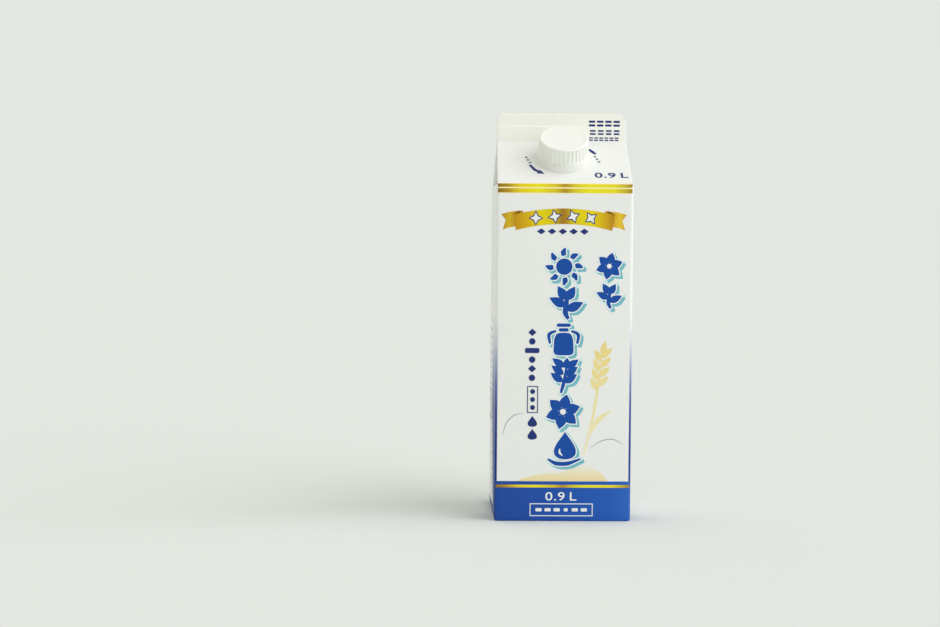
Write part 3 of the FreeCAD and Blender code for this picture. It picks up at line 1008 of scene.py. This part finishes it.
def lathe(profile, count=144):
    # profile of (radius, height) from the axis round to the axis, in millimetres
    points, faces, rows = [], [], []
    for radius, height in profile:
        if radius < 1e-6:
            rows.append([len(points)])
            points.append(Vector((0, 0, height)))
        else:
            rows.append(list(range(len(points), len(points) + count)))
            points += [Vector((x, y, height)) for x, y in disc(radius, count)]
    for low, high in zip(rows, rows[1:]):
        for i in range(count):
            j = (i + 1) % count
            if len(low) == 1:
                faces.append([low[0], high[j], high[i]])
            elif len(high) == 1:
                faces.append([low[i], low[j], high[0]])
            else:
                faces.append([low[i], low[j], high[j], high[i]])
    return points, faces


def rounded(profile, radius, steps=4):
    # the profile with each inner corner cut to a small arc
    result = [profile[0]]
    for before, here, after in zip(profile, profile[1:], profile[2:]):
        a, b, c = Vector(before), Vector(here), Vector(after)
        reach = min(radius, (a - b).length * 0.45, (c - b).length * 0.45)
        start, end = b + (a - b).normalized() * reach, b + (c - b).normalized() * reach
        for i in range(steps + 1):
            t = i / steps
            result.append(tuple(start * (1 - t) ** 2 + b * 2 * t * (1 - t) + end * t * t))
    return result + [profile[-1]]


def ribTree(ribMaterial):
    # ribs set round a circle, each turned to face out
    tree = bpy.data.node_groups.new("capRibs", "GeometryNodeTree")
    for label, kind in (("Ribs", "Int"), ("Radius", "Float"), ("Rib", "Object")):
        tree.interface.new_socket(label, in_out="INPUT", socket_type="NodeSocket" + kind)
    tree.interface.new_socket("Geometry", in_out="OUTPUT", socket_type="NodeSocketGeometry")
    given = tree.nodes.new("NodeGroupInput").outputs
    circle = addNode(tree, "GeometryNodeMeshCircle", {"Vertices": given["Ribs"], "Radius": given["Radius"]})
    rib = addNode(tree, "GeometryNodeObjectInfo", {"Object": given["Rib"]})
    where = addNode(tree, "GeometryNodeInputPosition").outputs["Position"]
    facing = addNode(tree, "FunctionNodeAlignRotationToVector", {"Vector": where}, axis="X")
    put = addNode(tree, "GeometryNodeInstanceOnPoints", {
        "Points": circle.outputs["Mesh"], "Instance": rib.outputs["Geometry"],
        "Rotation": facing.outputs["Rotation"]})
    real = addNode(tree, "GeometryNodeRealizeInstances", {"Geometry": put.outputs["Instances"]})
    paint = addNode(tree, "GeometryNodeSetMaterial", {
        "Geometry": real.outputs["Geometry"], "Material": ribMaterial})
    addNode(tree, "NodeGroupOutput", {"Geometry": paint.outputs["Geometry"]})
    return tree


def makeRib():
    # one rib at the origin, standing out along +x, rounded at its ends
    p = capSizes
    low, high = p["ringHeight"] + 0.4, p["ringHeight"] + p["height"] - 1.05
    half, tall = p["ribWidth"] / 2, p["ribDepth"]
    middle = spread(low + 1.2, high - 1.2, 4)
    heights = [low, low + 0.12, low + 0.35] + middle + [high - 0.45, high - 0.15, high]
    points = []
    for z in heights:
        near = min(z - low, high - z)
        full = min(1.0, math.sqrt(max(0.0, near) / 0.4))
        lean = -p["taper"] * (z - low) / (high - low)
        for i in range(7):
            angle = math.pi * i / 6
            out = lean + tall * full * math.sin(angle) ** 0.8 if 0 < i < 6 else lean - 0.25
            points.append(Vector((out, -half * math.cos(angle), z)) * mm)
    faces = tube([[0] * 7] * len(heights))
    faces += [list(range(7))[::-1], list(range(len(points) - 7, len(points)))]
    shell = bpy.data.meshes.new("rib")
    shell.from_pydata(points, [], faces)
    return newObject("rib", shell)


def makeCap():
    p = capSizes
    foot, top = p["ringHeight"], p["ringHeight"] + p["height"]
    base, crown = p["radius"] - p["ribDepth"], p["radius"] - p["taper"]
    profile = rounded([
        (0.0, foot + 0.03), (p["radius"] - 0.14, foot + 0.03), (p["radius"] + 0.02, foot + 0.14),
        (p["radius"], foot + 0.42), (base, foot + 0.95), (base - p["taper"] * 0.85, top - 1.6),
        (crown - 0.16, top - 1.15), (crown - 0.05, top - 0.62), (crown - 0.6, top), (crown - 1.5, top),
        (crown - 2.6, top - 0.16), (4.0, top - 0.18), (0.0, top - 0.18)], 0.28)
    points, faces = lathe(profile)
    ribSource = makeRib()
    holder = newObject("capRibs", bpy.data.meshes.new("capRibs"))
    tree = ribTree(capPlastic)
    modifier = holder.modifiers.new("ribs", "NODES")
    modifier.node_group = tree
    sockets = {item.name: item.identifier for item in tree.interface.items_tree if item.in_out == "INPUT"}
    modifier[sockets["Ribs"]] = p["ribs"]
    modifier[sockets["Radius"]] = base * mm
    modifier[sockets["Rib"]] = ribSource
    ribs = bakedMesh(holder)
    shell = Shell()
    shell.add(points, faces)
    shell.add([v.co / mm for v in ribs.vertices], [list(f.vertices) for f in ribs.polygons])
    for unused in (holder, ribSource):
        bpy.data.objects.remove(unused)
    gate, gateFaces = lathe([(0.0, top - 0.6), (1.0, top - 0.6), (1.0, top - 0.14), (0.85, top - 0.04),
                             (0.6, top - 0.07), (0.45, top - 0.16), (0.0, top - 0.17)], 28)
    shell.add([point + Vector((p["gateOffset"], 0, 0)) for point in gate], gateFaces)
    shell.points = seated(shell.points)
    piece = shell.build("screw_cap", [capPlastic], smooth=40)
    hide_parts("cap")


def makeBand():
    p = capSizes
    tall, foot, top = p["ringHeight"], p["ringFoot"], p["ringTop"]
    profile = rounded([
        (0.0, 0.0), (foot - 0.05, 0.0), (foot, 0.5), (foot - 0.22, 1.5), (top + 0.06, tall - 0.25),
        (top - 0.1, tall), (0.0, tall)], 0.12)
    shell = Shell()
    points, faces = lathe(profile)
    shell.add(seated(points), faces)
    piece = shell.build("smooth_band", [bandPlastic], smooth=40)
    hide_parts("spout_ring")


makeCap()
makeBand()
print("cap and band made")


roomSettings = {
    "floorColour": (229, 232, 230),
    "seenColour": (227, 231, 225),
    "dimColour": (0.30, 0.31, 0.335, 1),    # light from low in front and to the right
    "brightColour": (0.805, 0.81, 0.73, 1),  # light from above, behind and the left
    "brightWay": (-0.6, 0.45, 0.66),
    "sunStrength": 1.98,
    "sunSize": 75.0,                        # degrees across, so its shadows are soft
    "sunFrom": Vector((0.79, -0.36, 0.51)),
}
cameraSettings = {
    "place": Vector((-0.0688, -0.9410, 0.1461)),
    "turnRight": 1.31,                   # degrees
    "lookDown": 2.51,
    "roll": 0.42,
    "focalRatio": 1.8924,                # focal length in frame widths
}


def makeFloor():
    half = 6.0
    corners = ((-half, -half, 0), (half, -half, 0), (half, half, 0), (-half, half, 0))
    mesh = bpy.data.meshes.new("floor")
    mesh.from_pydata(corners, [], [(0, 1, 2, 3)])
    floor = newObject("floor", mesh)
    material = bpy.data.materials.new("floor_cloth")
    material.use_nodes = True
    shader = material.node_tree.nodes["Principled BSDF"]
    shader.inputs["Base Color"].default_value = linear(*roomSettings["floorColour"])
    shader.inputs["Roughness"].default_value = 0.9
    shader.inputs["Specular IOR Level"].default_value = 0.1
    mesh.materials.append(material)


def makeSky():
    room = roomSettings
    world = bpy.data.worlds.new("sky")
    scene.world = world
    world.use_nodes = True
    tree = world.node_tree
    tree.nodes.clear()
    way = addNode(tree, "ShaderNodeTexCoord").outputs["Generated"]
    facing = addNode(tree, "ShaderNodeVectorMath", {0: way, 1: room["brightWay"]}, operation="DOT_PRODUCT")
    amount = addNode(tree, "ShaderNodeMapRange", {"Value": facing.outputs["Value"], "From Min": -1.0})
    tint = mixColours(tree, amount.outputs["Result"], room["dimColour"], room["brightColour"])
    lit = addNode(tree, "ShaderNodeBackground", {"Color": tint})
    seen = addNode(tree, "ShaderNodeBackground", {"Color": linear(*room["seenColour"])})
    path = addNode(tree, "ShaderNodeLightPath").outputs
    plain = path["Is Camera Ray"]
    for ray in ("Is Glossy Ray", "Is Transmission Ray"):
        plain = addNode(tree, "ShaderNodeMath", {0: plain, 1: path[ray]}, operation="MAXIMUM").outputs[0]
    mix = addNode(tree, "ShaderNodeMixShader", {0: plain, 1: lit.outputs[0], 2: seen.outputs[0]})
    addNode(tree, "ShaderNodeOutputWorld", {"Surface": mix.outputs[0]})


def makeSun():
    light = bpy.data.lights.new("sun", "SUN")
    light.energy = roomSettings["sunStrength"]
    light.angle = math.radians(roomSettings["sunSize"])
    light.color = (1.0, 1.0, 1.02)
    newObject("sun", light).rotation_euler = (-roomSettings["sunFrom"]).to_track_quat("-Z", "Y").to_euler()


def makeCamera():
    s = cameraSettings
    data = bpy.data.cameras.new("camera")
    data.sensor_width = 36.0
    data.lens = s["focalRatio"] * data.sensor_width
    data.clip_start = 0.01
    camera = newObject("camera", data)
    facing = (Matrix.Rotation(math.radians(-s["turnRight"]), 4, "Z")
              @ Matrix.Rotation(math.radians(90 - s["lookDown"]), 4, "X")
              @ Matrix.Rotation(math.radians(s["roll"]), 4, "Z"))
    camera.matrix_world = Matrix.Translation(s["place"]) @ facing
    bpy.context.scene.camera = camera


makeFloor()
makeSky()
makeSun()
makeCamera()
scene.view_settings.view_transform = "Standard"
